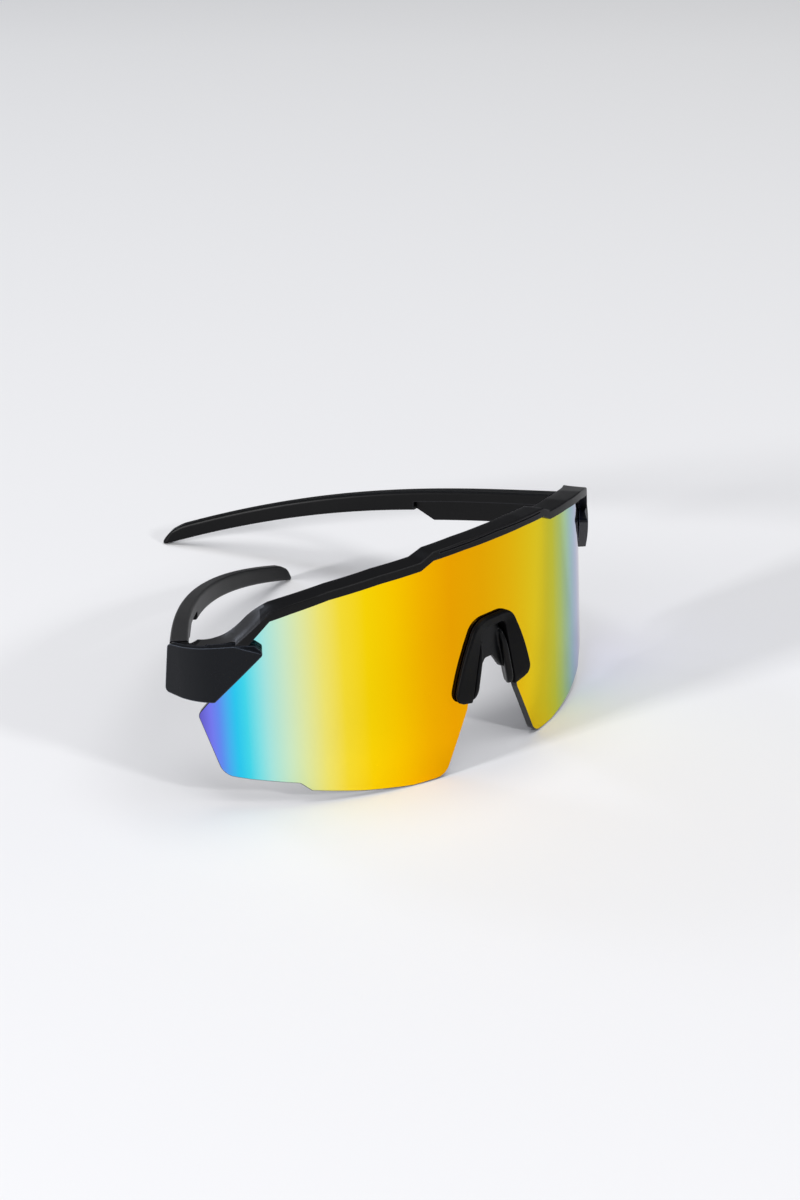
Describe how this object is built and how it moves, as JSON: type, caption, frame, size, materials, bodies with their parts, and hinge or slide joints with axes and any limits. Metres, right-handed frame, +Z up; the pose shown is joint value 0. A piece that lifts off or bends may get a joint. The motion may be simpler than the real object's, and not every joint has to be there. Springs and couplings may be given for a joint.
{
  "type": "shield sunglasses",
  "caption": "Sports sunglasses with a single curved mirrored shield lens, a moulded brow bar, a nose clip with a soft saddle, and hinged temples.",
  "frame": {"origin": "middle of the glasses' box at its base, as they lie in the picture", "axes": "+Z up from the surface that the glasses lie on, the lens faces -Y, the temples run back along +Y, and +X is to the right for someone who looks at the lens"},
  "size_m": [0.1398, 0.165, 0.061],
  "materials": {
    "mirror_lens": "polished polycarbonate with a rainbow mirror coating, gold in the middle and blue to violet at the sides",
    "black_nylon": "moulded black nylon, satin",
    "cover_nylon": "moulded blue black nylon, satin",
    "black_rubber": "soft black rubber, matt",
    "stainless_steel": "turned stainless steel",
    "brass": "turned brass"
  },
  "bodies": {
    "front": {"mirror_lens": "mirror_lens", "brow_frame": "black_nylon", "nose_clip": "black_nylon", "nose_saddle": "black_rubber", "end_cover_left": "cover_nylon", "end_cover_right": "cover_nylon", "hinge_screw_left": "stainless_steel", "hinge_screw_right": "stainless_steel", "hinge_nut_left": "brass", "hinge_nut_right": "brass"},
    "temple_left": {"temple_left": "black_nylon", "hinge_block_left": "black_nylon"},
    "temple_right": {"temple_right": "black_nylon", "hinge_block_right": "black_nylon"}
  },
  "joints": [
    {"name": "temple_fold_left", "type": "hinge", "parent": "front", "child": "temple_left", "pos_m": [-0.06583, -0.04212, 0.0347], "axis": [0, 0, -1], "range_deg": [-43.8, 38]},
    {"name": "temple_fold_right", "type": "hinge", "parent": "front", "child": "temple_right", "pos_m": [0.06583, -0.04212, 0.0347], "axis": [0, 0, 1], "range_deg": [-7.4, 18]}
  ]
}
